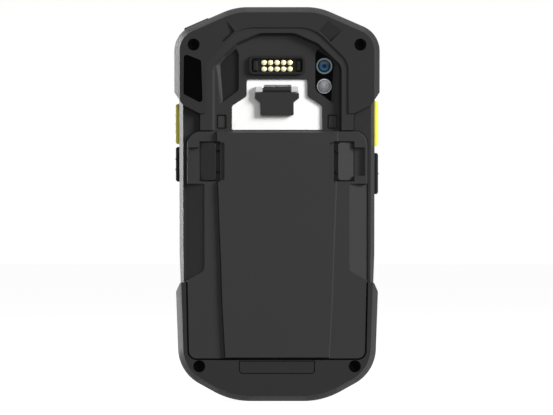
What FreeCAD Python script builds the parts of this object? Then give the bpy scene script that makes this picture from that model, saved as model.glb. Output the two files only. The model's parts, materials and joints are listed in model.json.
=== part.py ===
"""Rugged handheld data terminal, upright, its back towards -Y and its screen towards +Y.

Millimetres. The origin is the centre of the bottom edge; +Z runs to the top of the device.
"""
import FreeCAD, Part
import math
import os

Vec = FreeCAD.Vector
os.makedirs("parts", exist_ok=True)

# Overall size
height = 161.0
half_width = 42.0
front_y = 14.0
back_y = -14.0
fit_gap = 0.3

# Body outline: the corners of the right half, before they are rounded
foot_half = 18.9
foot_round = 31.0
low_corner_in = 1.9
low_corner_z = 11.8
low_corner_round = 16.4
hip_in = 0.2
hip_z = 60.0
top_corner_z = height - 10.8
top_corner_round = 11.0
crown_half = 17.2
crown_round = 24.0

# Skins and walls
bumper_skin = 2.0
wall = 1.8
split_y = 4.0
core_back_y = -10.5
core_flare_y = -5.5
core_flare = 1.6
bumper_back_y = -13.2
bumper_flare_y = -6.5
bumper_flare = 2.3
bumper_front_y = 12.5
bumper_front_flare_y = 9.5
bumper_front_flare = 1.5
front_edge_y = 13.2
front_edge = 1.2
rail_y = -12.7
pad_y = -11.9

# Upper bumper, back face
upper_side_z = height - 43.5
upper_side_x = 31.6
upper_notch_x = 38.5
upper_notch_z = height - 40.0
notch_slope = 1.5
window_half = 29.2
window_corner_z = height - 22.5
window_round = 8.0
arch_half = 15.0
arch_z = height - 8.5
arch_round = 14.0

facet_outer = (26.6, height - 9.7)
facet_high = (20.7, height - 5.6)
facet_inner = (17.2, height - 10.0)
facet_low = (21.9, height - 14.4)
facet_tilt = 9.0

# Connector field and its pockets
field_half = 25.3
field_corner_z = height - 24.5
field_shoulder_x = 16.0
field_shoulder_z = height - 15.8
field_crown_x = 7.0
field_crown_z = height - 11.8
field_round = 4.0
rail_lean = 1.1
pocket_outer = 24.9
pocket_inner = 15.6
pocket_top_z = height - 16.9
pocket_outer_top_z = height - 23.5
pocket_bend = (21.6, height - 19.7)
pocket_bevel = 1.7
pocket_outer_low_z = height - 40.1
pocket_inner_low_z = height - 34.0
pocket_round = 2.0
insert_y = -9.6
insert_back_y = -8.0

# Lower bumper, back face
lower_top_z = 48.9
lower_notch_x = 39.6
lower_notch_z = 48.4
lower_notch_slope = 2.19

# Battery
battery_half = half_width - 5.1
battery_low_half = battery_half - 0.7
battery_low_z = 17.2
battery_top_z = height - 50.7
battery_low_round = 3.5
battery_top_round = 5.6
battery_waist_z = 50.0
battery_y = -12.8
panel_y = back_y
panel_slope = 0.5
panel_steps = [(21.5, battery_low_z + fit_gap), (22.8, 41.0), (23.3, 57.6), (24.5, battery_top_z - 21.6),
               (25.0, battery_top_z - 0.2)]
slope_x = 29.5
slope_low_z = 53.5
slope_end_z = 49.4
slope_top_z = battery_top_z - 21.5
slope_depth = 2.0
cell_half = 28.0
cell_low_z = battery_low_z + 5.3
cell_top_z = battery_top_z - 7.3
cell_y = 0.4
cell_wall = 1.2
base_plate = 1.0
tip_room = 2.0
well_wall = 1.4
terminal_half = 9.0
terminal_pitch = 4.0
terminal_low_z = cell_top_z - 11.5
terminal_top_z = cell_top_z - 6.5

# Battery latches
latch_low_z = battery_top_z - 20.1
latch_top_z = battery_top_z - 4.7
latch_inner = 24.9
latch_outer = 31.2
latch_y = -13.3
latch_floor_y = -11.0
latch_recess_inner = 23.2
spring_seat = 20.0
latch_travel = 1.6
latch_gap = 0.15
latch_round = 1.2
latch_slope = 1.5
spring_r = 0.5
spring_gap = 0.12
thumb_outer = 35.8
thumb_low_z = latch_low_z + 1.8
thumb_top_z = latch_top_z - 2.0
thumb_y = -11.4

# Screws
upper_screw = (half_width - 8.0, height - 15.5)
lower_screw = (half_width - 10.3, 14.35)
screw_recess_r = 2.5
screw_head_r = 1.9
screw_head_h = 1.4
screw_r = 0.9
boss_r = 2.5
screw_end_y = 8.4

# Side window in the left shoulder
side_window_corners = [
    (window_half + 1.1, height - 39.7), (half_width - 3.8, height - 35.6),
    (half_width - 4.0, height - 19.1), (window_half + 1.7, height - 21.9),
]
side_window_round = 1.2
side_window_y = -11.4

# Connector, camera and flash
connector_half = 11.5
connector_low_z = height - 27.7
connector_top_z = height - 20.0
connector_y = -11.7
connector_rim = 1.1
contact_pitch = 2.65
contact_r = 1.05
contact_z = height - 24.1
contact_y = -11.2
camera_x = 19.3
camera_z = height - 24.2
camera_ring_r = 3.3
camera_lens_r = 2.6
flash_z = height - 32.4
flash_r = 3.0
flash_led_r = 1.4
camera_body_half = 3.9
camera_body_y = -2.0

# Strap bay and flap
bay_top_half = 12.5
bay_half = 18.5
bay_top_z = height - 29.5
bay_shoulder_top_z = height - 36.5
bay_shoulder_z = height - 40.4
bay_low_z = battery_top_z + 0.4
bay_floor_y = -9.8
bay_back_y = -7.6
flap_half = 9.0
flap_top_z = height - 32.5
flap_shoulder_z = height - 37.3
flap_waist_z = height - 39.0
flap_waist = 6.8
flap_low_z = height - 44.4
flap_thick = 1.2
flap_pin_z = height - 33.7
flap_pin_y = -10.8
flap_pin_r = 0.6
knuckle_inner = 5.8
knuckle_low_z = height - 34.8
running_gap = 0.05
side_block_inner = 20.6
side_block_outer = 24.6
side_block_low_z = height - 49.8
side_block_top_z = height - 44.0

# Lower strap cover
cover_half = 15.5
cover_low_z = 11.3
cover_top_z = 16.6
cover_y = -13.0
groove = 0.25

# Keys: centre height, half length
scan_left = (height - 47.7, 8.2)
scan_right = (height - 47.5, 9.2)
talk_key = (height - 68.0, 8.4)
rocker = (height - 64.2, 7.1)
key_low_y = -3.6
key_high_y = 2.6
key_proud = 1.5
key_travel = 0.8
key_gap = 0.2
key_flange = 1.0
key_lip = 0.8
rocker_flange_half = 2.5
switch_height = 1.0
key_board_thick = 1.0
power_length = 11.0
power_along = 9.9
power_width = 4.4
power_proud = 0.5
power_travel = 0.6

# Display side
glass_half = half_width - 6.8
glass_low_z = 15.5
glass_top_z = height - 12.0
glass_round = 5.0
glass_y = 12.6
glass_thick = 0.8
ledge_y = 11.4
display_half = glass_half - 3.0
display_low_z = 24.0
display_top_z = height - 25.0
display_back_y = 9.6
frame_thick = 1.2
frame_boss = 1.8
board_half = display_half - 1.2
scan_engine_half = 11.0
board_low_z = 20.0
board_top_z = height - 22.0
board_thick = 1.2
frame_back_y = display_back_y - frame_thick
board_front_y = frame_back_y - frame_boss
board_back_y = board_front_y - board_thick


def block(x0, x1, y0, y1, z0, z1):
    """Rectangular block between two corners."""
    return Part.makeBox(x1 - x0, y1 - y0, z1 - z0, Vec(x0, y0, z0))


def disc(x, z, r, y0, y1):
    """Cylinder along the depth of the device."""
    return Part.makeCylinder(r, y1 - y0, Vec(x, y0, z), Vec(0, 1, 0))


def both_sides(half):
    """Close the right half of an outline, given from low to high, with its mirror image."""
    opposite = [(-corner[0],) + tuple(corner[1:]) for corner in reversed(half)]
    return list(half) + opposite


def mirrored(shape):
    """Copy of a shape on the other side of the middle plane."""
    return shape.mirror(Vec(0, 0, 0), Vec(1, 0, 0))


def inset(outline, distance):
    """Move every side of a closed outline inwards and keep its number of corners."""
    moved = []
    count = len(outline)
    for i in range(count):
        before, here, after = outline[i - 1], outline[i], outline[(i + 1) % count]
        along_in = Vec(here[0] - before[0], here[1] - before[1], 0).normalize()
        along_out = Vec(after[0] - here[0], after[1] - here[1], 0).normalize()
        normal_in = Vec(-along_in.y, along_in.x, 0)
        normal_out = Vec(-along_out.y, along_out.x, 0)
        spread = 1 + normal_in.dot(normal_out)
        shift = (normal_in + normal_out) * (distance / spread)
        turn = along_in.x * along_out.y - along_in.y * along_out.x
        radius = here[2]
        if radius > 0:
            radius = max(radius - distance, 0.1) if turn > 0 else max(radius + distance, 0.1)
        moved.append((here[0] + shift.x, here[1] + shift.y, radius))
    return moved


def wire(outline, y):
    """Closed wire at depth y through corners (x, z, radius)."""
    runs = []
    count = len(outline)
    for i in range(count):
        before, here, after = outline[i - 1], outline[i], outline[(i + 1) % count]
        corner = Vec(here[0], y, here[1])
        back = Vec(before[0] - here[0], 0, before[1] - here[1]).normalize()
        ahead = Vec(after[0] - here[0], 0, after[1] - here[1]).normalize()
        half = math.acos(max(-1.0, min(1.0, back.dot(ahead)))) / 2
        if here[2] <= 0:
            runs.append((corner, None, corner))
            continue
        reach = here[2] / math.tan(half)
        to_middle = (back + ahead).normalize()
        middle = corner + to_middle * (here[2] / math.sin(half) - here[2])
        runs.append((corner + back * reach, middle, corner + ahead * reach))
    edges = []
    for i in range(count):
        start, middle, end = runs[i]
        if middle is not None:
            edges.append(Part.Arc(start, middle, end).toShape())
        following = runs[(i + 1) % count][0]
        if (following - end).Length > 1e-6:
            edges.append(Part.LineSegment(end, following).toShape())
    return Part.Wire(edges)


def slab(outline, y0, y1):
    """Straight-sided solid of an outline between two depths."""
    return Part.Face(wire(outline, y0)).extrude(Vec(0, y1 - y0, 0))


def drafted(outline, y_base, y_tip, distance):
    """Solid whose sides lean in by a distance from its base to its tip."""
    return Part.makeLoft([wire(outline, y_base), wire(inset(outline, distance), y_tip)], True, True)


def rectangle(x0, x1, z0, z1, radius=0.0):
    """Corners of a rectangle, counter-clockwise."""
    return [(x0, z0, radius), (x1, z0, radius), (x1, z1, radius), (x0, z1, radius)]


def joined(shapes):
    """One solid from several that touch or overlap."""
    result = shapes[0]
    for shape in shapes[1:]:
        result = result.fuse(shape)
    return result.removeSplitter()


def cut(shape, tools):
    """Shape with every tool taken away."""
    for tool in tools:
        shape = shape.cut(tool)
    return shape


def save(name, shape):
    """Write one piece as its own file and say what it holds."""
    solids = shape.Solids
    print(name, len(solids), round(sum(s.Volume for s in solids), 2), shape.isValid())
    shape.exportStep("parts/" + name + ".step")


# Outlines of the body
body_outline = both_sides([
    (foot_half, 0.0, foot_round),
    (half_width - low_corner_in, low_corner_z, low_corner_round),
    (half_width - hip_in, hip_z, 0.0),
    (half_width, top_corner_z, top_corner_round),
    (crown_half, height, crown_round),
])
core_outline = inset(body_outline, bumper_skin)
beyond = 2 * height

core_solid = joined([
    slab(core_outline, core_flare_y, front_edge_y),
    drafted(core_outline, core_flare_y, core_back_y, core_flare),
    drafted(core_outline, front_edge_y, front_y, front_edge),
])
body_solid = joined([
    slab(body_outline, bumper_flare_y, bumper_front_flare_y),
    drafted(body_outline, bumper_flare_y, bumper_back_y, bumper_flare),
    drafted(body_outline, bumper_front_flare_y, bumper_front_y, bumper_front_flare),
])

battery_outline = both_sides([
    (battery_low_half, battery_low_z, battery_low_round),
    (battery_half, battery_waist_z, 0.0),
    (battery_half, battery_top_z, battery_top_round),
])
window_outline = both_sides([
    (window_half, battery_top_z, 0.0),
    (window_half, window_corner_z, window_round),
    (arch_half, arch_z, arch_round),
])
field_outline = both_sides([
    (field_half, battery_top_z + fit_gap, 0.0),
    (field_half, field_corner_z, field_round),
    (field_shoulder_x, field_shoulder_z, field_round),
    (field_crown_x, field_crown_z, 2 * field_round),
])


def pocket_corners(outer_in):
    """Outline of the right pocket, its outer side moved in by a distance."""
    return [
        (pocket_outer - outer_in, pocket_outer_top_z, pocket_round),
        (pocket_bend[0] - outer_in / 2, pocket_bend[1] - outer_in / 2, pocket_round),
        (pocket_inner + 1.0, pocket_top_z - outer_in / 2, 0.5),
        (pocket_inner, pocket_top_z - 2.5 - outer_in / 2, 1.0),
        (pocket_inner, pocket_inner_low_z, pocket_round),
        (pocket_outer - 1.2 - outer_in, pocket_outer_low_z + outer_in / 2, 0.6),
    ]


bay_outline = both_sides([
    (bay_half, bay_low_z, 0.6),
    (bay_half, bay_shoulder_z, 1.5),
    (bay_top_half, bay_shoulder_top_z, 1.5),
    (bay_top_half, bay_top_z, 1.0),
])


def screw_places():
    """Centres of the four corner screws."""
    places = []
    for x, z in (upper_screw, lower_screw):
        places += [(x, z), (-x, z)]
    return places


# Keys on the two flanks: a cap through the wall with a flange behind it
def flank_x(z):
    """Outer face of the housing between the bumpers, right side."""
    low_x = half_width - low_corner_in
    share = (z - low_corner_z) / (hip_z - low_corner_z)
    if z < hip_z:
        return low_x + (low_corner_in - hip_in) * share - bumper_skin
    share = (z - hip_z) / (top_corner_z - hip_z)
    return half_width - hip_in + hip_in * share - bumper_skin


def key_solid(key, ridges, flange_half):
    """Key cap of the right flank, its flange inside the wall."""
    centre, half = key
    face = flank_x(centre)
    inner = face - wall
    cap = block(inner - key_flange, face + key_proud, key_low_y, key_high_y, centre - half, centre + half)
    cap = cap.makeChamfer(0.6, [e for e in cap.Edges if e.BoundBox.XMin > face + key_proud - 0.01])
    flange = block(inner - key_flange, inner - key_gap, key_low_y - key_lip, key_high_y + key_lip,
                   centre - flange_half, centre + flange_half)
    solid = joined([cap, flange])
    for ridge in range(ridges):
        z = centre + half * (ridge - (ridges - 1) / 2) * 1.2 / ridges
        solid = joined([solid, block(face + key_proud - 0.3, face + key_proud + 0.2,
                                     key_low_y + 0.9, key_high_y - 0.9, z - 0.3, z + 0.3)])
    return solid


def key_slot(key):
    """Hole in the right flank for a key, with its running room."""
    centre, half = key
    face = flank_x(centre)
    return block(face - wall - 1.0, face + 6.0, key_low_y - key_gap, key_high_y + key_gap,
                 centre - half - key_gap, centre + half + key_gap)


def key_board(keys, low_z, high_z):
    """Board along the right flank with one switch behind each key."""
    face = flank_x(keys[0][0]) - wall - key_flange - key_travel - 0.2
    board = block(face - switch_height - key_board_thick, face - switch_height, -2.6, 1.8, low_z, high_z)
    switches = [block(face - switch_height, face, -1.6, 0.8, key[0] - 1.6, key[0] + 1.6) for key in keys]
    return joined([board] + switches)


def board_post(low_z, high_z):
    """Rib from the battery well to the right key board."""
    face = flank_x(low_z) - wall - key_flange - key_travel - 0.2 - switch_height - key_board_thick
    return block(cell_half + fit_gap + well_wall - 0.2, face, -2.0, 1.2, low_z, high_z)


def power_frame(shape):
    """Turn and carry a shape from the middle of the top edge to the power key's place."""
    slope = math.atan2(height - top_corner_z, half_width - crown_half)
    turned = shape.copy()
    turned.rotate(Vec(0, 0, 0), Vec(0, 1, 0), math.degrees(slope))
    turned.translate(Vec(half_width - power_along * math.cos(slope), 0, top_corner_z + power_along * math.sin(slope)))
    return mirrored(turned)


# Rear housing
cavity = joined([
    slab(inset(core_outline, wall), core_flare_y, split_y),
    drafted(inset(core_outline, wall), core_flare_y, core_back_y + wall, core_flare * 0.6),
])
cavity_y = core_back_y + wall
well_half = cell_half + fit_gap
well_low_z = cell_low_z - fit_gap
well_top_z = cell_top_z + tip_room
well_y = cell_y + 0.4
well_box = block(-well_half, well_half, -beyond, well_y, well_low_z, well_top_z)
well_walls = block(-well_half - well_wall, well_half + well_wall, cavity_y - 0.2, well_y + well_wall,
                   well_low_z - well_wall, well_top_z + well_wall)
rail_step = side_window_round + 0.9
yoke_outline = both_sides([
    (window_half + rail_step, battery_top_z + fit_gap, 0.0),
    (window_half + rail_step, upper_side_z, 0.0),
    (window_half, upper_side_z, 0.0),
    (window_half, window_corner_z, window_round),
    (arch_half, arch_z, arch_round),
])
yoke = slab(yoke_outline, rail_y, core_back_y + 0.2)
field_cut = joined([
    Part.makeLoft([wire(field_outline, core_back_y), wire(inset(field_outline, -rail_lean), rail_y)], True, True),
    slab(inset(field_outline, -rail_lean), rail_y - 5, rail_y),
])
yoke = yoke.cut(field_cut).cut(block(-field_half, field_half, -beyond, core_back_y,
                                     battery_top_z - 1, battery_top_z + 1))

insert_outline = pocket_corners(pocket_bevel)
pocket_right = slab(insert_outline, insert_y, insert_back_y)
pocket_cut = joined([
    slab(insert_outline, insert_y, insert_back_y),
    Part.makeLoft([wire(insert_outline, insert_y), wire(pocket_corners(0.0), core_back_y)], True, True),
    slab(pocket_corners(0.0), core_back_y - 5, core_back_y),
])
connector_outline = rectangle(-connector_half, connector_half, connector_low_z, connector_top_z, 2.0)
bay_cut = slab(bay_outline, -beyond, bay_back_y)
side_pocket = rectangle(side_block_inner, side_block_outer, side_block_low_z, side_block_top_z, 0.6)
side_pocket_floor = core_back_y + 1.1
scan_window_half = 10.5
scan_window_low_y = -4.5
scan_window_high_y = 2.8
scan_window_cut = block(-scan_window_half, scan_window_half, scan_window_low_y, scan_window_high_y,
                        height - bumper_skin - wall - 1, beyond)

power_deep = bumper_skin + wall
power_slot = power_frame(block(-power_length / 2 - key_gap, power_length / 2 + key_gap,
                               -power_width / 2 - key_gap, power_width / 2 + key_gap, -power_deep - 2.2, 3.0))
power_flange_half = power_length / 2 - 1.0
power_flange_y = power_width / 2 + key_lip
power_room = power_frame(block(-power_flange_half - key_gap, power_flange_half + key_gap,
                               -power_flange_y - key_gap, power_flange_y + key_gap,
                               -power_deep - 2.2, -power_deep + 0.05))
power_board_top = -power_deep - key_flange - power_travel - 0.3 - 0.6
power_board_end = 1.0
power_board_solid = power_frame(joined([
    block(-5.0, power_board_end, -1.8, 1.8, power_board_top - key_board_thick, power_board_top),
    block(-1.2, power_board_end, -1.2, 1.2, power_board_top, power_board_top + 0.6),
]))
power_post = power_frame(block(-5.0, power_board_end, cavity_y - 0.2, -1.8,
                               power_board_top - key_board_thick, power_board_top))

gasket_ring = cut(slab(inset(core_outline, 0.6), split_y - 0.6, split_y),
                  [slab(inset(core_outline, 1.2), split_y - 1, split_y + 1)])

left_keys = [scan_left, rocker]
right_keys = [scan_right, talk_key]
key_board_low = talk_key[0] - talk_key[1]
key_board_high = scan_right[0] + scan_right[1]
post_right = board_post(rocker[0] + 1.2, scan_left[0] - 5.0)
post_left = mirrored(post_right)

rear = core_solid.cut(block(-beyond, beyond, split_y, beyond, -beyond, beyond))
rear = rear.cut(cavity)
rear = joined([rear, well_walls, yoke, post_right, post_left, power_post]
              + [disc(x, z, boss_r, cavity_y - 0.2, split_y) for x, z in screw_places()])
rear_tools = [
    well_box, pocket_cut, mirrored(pocket_cut), bay_cut, slab(connector_outline, -beyond, 0),
    slab(side_pocket, -beyond, side_pocket_floor), mirrored(slab(side_pocket, -beyond, side_pocket_floor)),
    scan_window_cut, power_slot, power_room, gasket_ring,
    block(-terminal_half, terminal_half, well_y - 1, well_y + well_wall + 1, terminal_low_z, terminal_top_z),
]
rear_tools += [disc(x, z, screw_r + 0.15, -beyond, beyond) for x, z in screw_places()]
rear_tools += [key_slot(key) for key in right_keys] + [mirrored(key_slot(key)) for key in left_keys]
rear = cut(rear, rear_tools)
save("rear_housing", rear)

# Bumpers: a skin round the housing at the two ends
upper_region = slab(both_sides([
    (upper_side_x, upper_side_z, 2.0),
    (upper_notch_x, upper_notch_z, 2.0),
    (2 * half_width, upper_notch_z + (2 * half_width - upper_notch_x) * notch_slope, 0.0),
    (2 * half_width, beyond, 0.0),
]), -beyond, beyond)
lower_region = slab(both_sides([
    (2 * half_width, -beyond, 0.0),
    (2 * half_width, lower_notch_z - (2 * half_width - lower_notch_x) * lower_notch_slope, 0.0),
    (lower_notch_x, lower_notch_z, 0.8),
    (battery_half, lower_top_z, 0.0),
]), -beyond, beyond)
bumper_skin_solid = body_solid.cut(core_solid)
window_cut = slab(window_outline, -beyond, core_back_y)
side_window_outline = [(x, z, side_window_round) for x, z in side_window_corners]
side_window_cut = mirrored(slab(side_window_outline, -beyond, core_back_y))
recesses = [disc(x, z, screw_recess_r, -beyond, core_back_y) for x, z in screw_places()]

facet = slab([(facet_outer[0], facet_outer[1], 0.4), (facet_high[0], facet_high[1], 0.4),
              (facet_inner[0], facet_inner[1], 0.4), (facet_low[0], facet_low[1], 0.4)], -beyond, bumper_back_y)
facet_edge = Vec(facet_high[0] - facet_outer[0], 0, facet_high[1] - facet_outer[1]).normalize()
facet.rotate(Vec(facet_high[0], bumper_back_y, facet_high[1]), facet_edge, -facet_tilt)
upper = cut(bumper_skin_solid.common(upper_region),
            [facet, mirrored(facet), window_cut, side_window_cut, scan_window_cut, power_slot] + recesses)
save("bumper_upper", upper)

battery_cut = slab(inset(battery_outline, -fit_gap), -beyond, core_back_y)
cover_outline = [(-cover_half, cover_low_z, 1.6), (cover_half, cover_low_z, 1.6),
                 (cover_half, cover_top_z, 0.4), (-cover_half, cover_top_z, 0.4)]
dock_half = 9.0
dock_low_y = 5.5
dock_high_y = 10.0
dock_cut = block(-dock_half, dock_half, dock_low_y, dock_high_y, -1, bumper_skin + wall + 1)
lower = cut(bumper_skin_solid.common(lower_region),
            [battery_cut, slab(cover_outline, -beyond, core_back_y), dock_cut] + recesses)
save("bumper_lower", lower)
save("lower_strap_cover", slab(inset(cover_outline, groove), cover_y, core_back_y))

# Grip pads between the bumpers
pad_edge = flank_x(hip_z) - core_flare - 0.1
pad_outline = rectangle(window_half + rail_step + groove, pad_edge, lower_top_z - 1, upper_notch_z + 4)
region_shifts = [(upper_region, -groove), (lower_region, groove)]
pad_limits = [region.translated(Vec(0, 0, shift)) for region, shift in region_shifts]
pad_right = cut(slab(pad_outline, pad_y, core_back_y), [battery_cut] + pad_limits)
save("grip_pad_right", pad_right)
save("grip_pad_left", mirrored(pad_right))

# Small fittings on the back
save("side_window", mirrored(slab(side_window_outline, side_window_y, core_back_y)))
save("pocket_insert_left", mirrored(pocket_right))
camera_hole = disc(camera_x, camera_z, camera_ring_r, -beyond, beyond)
flash_hole = disc(camera_x, flash_z, flash_r, -beyond, beyond)
save("pocket_insert_right", cut(pocket_right, [camera_hole, flash_hole]))
lens_back_y = insert_y + 0.5
save("camera_ring", cut(disc(camera_x, camera_z, camera_ring_r, insert_y - 0.7, insert_back_y),
                        [disc(camera_x, camera_z, camera_lens_r, -beyond, beyond)]))
save("camera_lens", disc(camera_x, camera_z, camera_lens_r, insert_y - 0.3, lens_back_y))
save("camera_module", joined([
    disc(camera_x, camera_z, camera_lens_r, lens_back_y, insert_back_y),
    block(camera_x - camera_body_half, camera_x + camera_body_half, insert_back_y, camera_body_y,
          camera_z - camera_body_half, camera_z + camera_body_half - 0.4),
]))
save("flash_lens", disc(camera_x, flash_z, flash_r, insert_y - 0.4, insert_back_y - 0.6))
save("flash_led", disc(camera_x, flash_z, flash_led_r, insert_back_y - 0.6, insert_back_y + 0.4))
block_back_y = side_pocket_floor
side_block = slab(inset(side_pocket, 0.5), block_back_y - 0.6, block_back_y)
save("side_blocks", Part.makeCompound([side_block, mirrored(side_block)]))

connector_base_y = core_back_y + 0.3
connector = cut(slab(connector_outline, connector_y, cavity_y),
                [slab(inset(connector_outline, connector_rim), -beyond, connector_base_y)])
save("interface_connector", connector)
contacts = []
for row in (-0.5, 0.5):
    for column in range(-2, 3):
        contacts.append(disc(column * contact_pitch, contact_z + row * contact_pitch, contact_r,
                             contact_y, connector_base_y))
save("interface_contacts", Part.makeCompound(contacts))

# Strap bay: anchor plate, hinge and flap
hinge_slot = block(-knuckle_inner + 0.1, knuckle_inner - 0.1, -beyond, bay_floor_y + 0.7,
                   flap_pin_z - 1.7, flap_pin_z + 1.7)
save("strap_anchor_plate", slab(bay_outline, bay_floor_y, bay_back_y).cut(hinge_slot))
knuckle = block(knuckle_inner, flap_half - 0.2, -11.6, bay_floor_y, knuckle_low_z, flap_top_z)
pin = Part.makeCylinder(flap_pin_r, 2 * flap_half - 0.8,
                        Vec(-flap_half + 0.4, flap_pin_y, flap_pin_z), Vec(1, 0, 0))
save("strap_hinge", joined([knuckle, mirrored(knuckle), pin]))
flap_notch_z = knuckle_low_z - 0.4
flap_outline = both_sides([
    (flap_waist, flap_low_z, 0.8),
    (flap_waist, flap_waist_z, 0.4),
    (flap_half, flap_shoulder_z, 0.5),
    (flap_half, flap_notch_z, 0.3),
    (knuckle_inner - 0.2, flap_notch_z, 0.0),
    (knuckle_inner - 0.2, flap_top_z, 0.3),
])
pin_bore = Part.makeCylinder(flap_pin_r + running_gap, beyond,
                             Vec(-beyond / 2, flap_pin_y, flap_pin_z), Vec(1, 0, 0))
flap = slab(flap_outline, flap_pin_y - flap_thick / 2, flap_pin_y + flap_thick / 2)
flap_barrel = Part.makeCylinder(flap_pin_r + 0.6, 2 * (knuckle_inner - 0.2),
                                Vec(-knuckle_inner + 0.2, flap_pin_y, flap_pin_z), Vec(1, 0, 0))
save("strap_flap", joined([flap, flap_barrel]).cut(pin_bore))

# Keys
save("scan_key_right", key_solid(scan_right, 1, scan_right[1]))
save("scan_key_left", mirrored(key_solid(scan_left, 3, scan_left[1])))
save("talk_key", key_solid(talk_key, 1, talk_key[1]))
save("volume_rocker", mirrored(key_solid(rocker, 2, rocker_flange_half)))
power_cap = block(-power_length / 2, power_length / 2, -power_width / 2, power_width / 2,
                  -power_deep - key_flange, power_proud)
power_cap = power_cap.makeChamfer(0.3, [e for e in power_cap.Edges if e.BoundBox.ZMin > power_proud - 0.01])
power_flange = block(-power_flange_half, power_flange_half, -power_flange_y, power_flange_y,
                     -power_deep - key_flange, -power_deep - key_gap)
save("power_key", power_frame(joined([power_cap, power_flange])))
save("power_key_board", power_board_solid)
save("key_board_right", key_board(right_keys, key_board_low, key_board_high))
save("key_board_left", mirrored(key_board(left_keys, key_board_low, key_board_high)))

# Corner screws
screws = []
for x, z in screw_places():
    head = disc(x, z, screw_head_r, core_back_y - screw_head_h, core_back_y)
    shank = disc(x, z, screw_r, core_back_y, screw_end_y)
    socket = disc(x, z, screw_head_r / 2, core_back_y - screw_head_h, core_back_y - screw_head_h + 0.8)
    screws.append(joined([head, shank]).cut(socket))
save("corner_screws", Part.makeCompound(screws))
save("housing_gasket", gasket_ring)

# Battery: shell, base, cells, terminals and seal
battery_edge = 0.4
flange = joined([
    slab(battery_outline, battery_y + 1.0, core_back_y),
    drafted(battery_outline, battery_y + 1.0, battery_y, battery_edge),
])
panel = drafted(both_sides([(x, z, 0.0) for x, z in panel_steps]), battery_y, panel_y, panel_slope)
deep = block(-cell_half, cell_half, core_back_y - 0.1, cell_y, cell_low_z, cell_top_z)
slope_run = battery_half - slope_x
wedge_face = Part.Face(Part.makePolygon([
    Vec(slope_x, battery_y - 2, slope_low_z - 20), Vec(slope_x, battery_y, slope_low_z - 20),
    Vec(slope_x + 2 * slope_run, battery_y + 2 * slope_depth, slope_low_z - 20),
    Vec(slope_x + 2 * slope_run, battery_y - 2, slope_low_z - 20), Vec(slope_x, battery_y - 2, slope_low_z - 20),
]))
slope_limits = slab([
    (slope_x, slope_low_z, 0.0),
    (slope_x + 2 * slope_run, 2 * slope_end_z - slope_low_z, 0.0),
    (slope_x + 2 * slope_run, slope_top_z, 0.0),
    (slope_x, slope_top_z, 0.0),
], -beyond, beyond)
slope_cut = wedge_face.extrude(Vec(0, 0, 60)).common(slope_limits)
latch_recess = block(latch_recess_inner, latch_outer + 0.4, -beyond, latch_floor_y,
                     latch_low_z - 0.5, latch_top_z + 0.5)
thumb_cut = block(latch_outer + 0.3, thumb_outer, -beyond, thumb_y, thumb_low_z, thumb_top_z)
cell_cavity = block(-cell_half + cell_wall, cell_half - cell_wall, core_back_y + 0.3, beyond,
                    cell_low_z + cell_wall, cell_top_z - cell_wall)
seal_margin = 1.6
seal_width = 0.9
seal_outline = rectangle(-well_half - seal_margin, well_half + seal_margin, well_low_z - seal_margin,
                         well_top_z + seal_margin, 1.1)
seal_ring = cut(slab(inset(seal_outline, -seal_width), core_back_y - 0.4, core_back_y),
                [slab(seal_outline, -beyond, beyond)])
spring_y = (latch_y + latch_floor_y - latch_gap) / 2
spring_places = (latch_low_z + 3.4, latch_top_z - 3.4)
spring_bores = [Part.makeCylinder(spring_r + spring_gap, latch_outer - spring_seat,
                                  Vec(spring_seat, spring_y, z), Vec(1, 0, 0)) for z in spring_places]
shell = joined([flange, panel, deep])
shell = cut(shell, spring_bores + [mirrored(bore) for bore in spring_bores])
shell = cut(shell, [slope_cut, mirrored(slope_cut), latch_recess, mirrored(latch_recess),
                    thumb_cut, mirrored(thumb_cut), cell_cavity, seal_ring])
save("battery_shell", shell)
save("battery_seal", seal_ring)
terminals = [block(column * terminal_pitch - 1.2, column * terminal_pitch + 1.2, cell_y - 0.4, cell_y,
                   terminal_low_z + 0.9, terminal_top_z - 0.9) for column in (-1.5, -0.5, 0.5, 1.5)]
base = block(-cell_half + cell_wall, cell_half - cell_wall, cell_y - base_plate, cell_y,
             cell_low_z + cell_wall, cell_top_z - cell_wall)
save("battery_base", cut(base, terminals))
save("battery_terminals", Part.makeCompound(terminals))
save("battery_cells", block(-cell_half + cell_wall + 0.2, cell_half - cell_wall - 0.2, core_back_y + 0.4,
                            cell_y - base_plate, cell_low_z + cell_wall + 0.2, cell_top_z - cell_wall - 2.0))
save("well_contacts", block(-terminal_half, terminal_half, well_y - 0.3, well_y + well_wall + 0.6,
                            terminal_low_z, terminal_top_z))

# Battery latches and their springs
latch = slab(rectangle(latch_inner, latch_outer, latch_low_z, latch_top_z, latch_round),
             latch_y, latch_floor_y - latch_gap)
spring_end = latch_inner + 3.4
springs = []
for z in spring_places:
    hole = Part.makeCylinder(spring_r + spring_gap, spring_end + latch_travel + 0.2 - latch_inner + 1,
                             Vec(latch_inner - 1, spring_y, z), Vec(1, 0, 0))
    latch = latch.cut(hole)
    springs.append(Part.makeCylinder(spring_r, spring_end - spring_seat, Vec(spring_seat, spring_y, z), Vec(1, 0, 0)))
latch_run = latch_outer - latch_inner
latch_wedge = Part.Face(Part.makePolygon([
    Vec(latch_inner + latch_round, latch_y, latch_low_z - 1), Vec(latch_outer + 1, latch_y, latch_low_z - 1),
    Vec(latch_outer + 1, latch_y + latch_slope * (latch_run + 1) / latch_run, latch_low_z - 1),
    Vec(latch_inner + latch_round, latch_y, latch_low_z - 1),
])).extrude(Vec(0, 0, latch_top_z - latch_low_z + 2))
latch = latch.cut(latch_wedge)
save("latch_right", latch)
save("latch_left", mirrored(latch))
spring_pair = Part.makeCompound(springs)
save("latch_spring_right", spring_pair)
save("latch_spring_left", mirrored(spring_pair))

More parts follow.
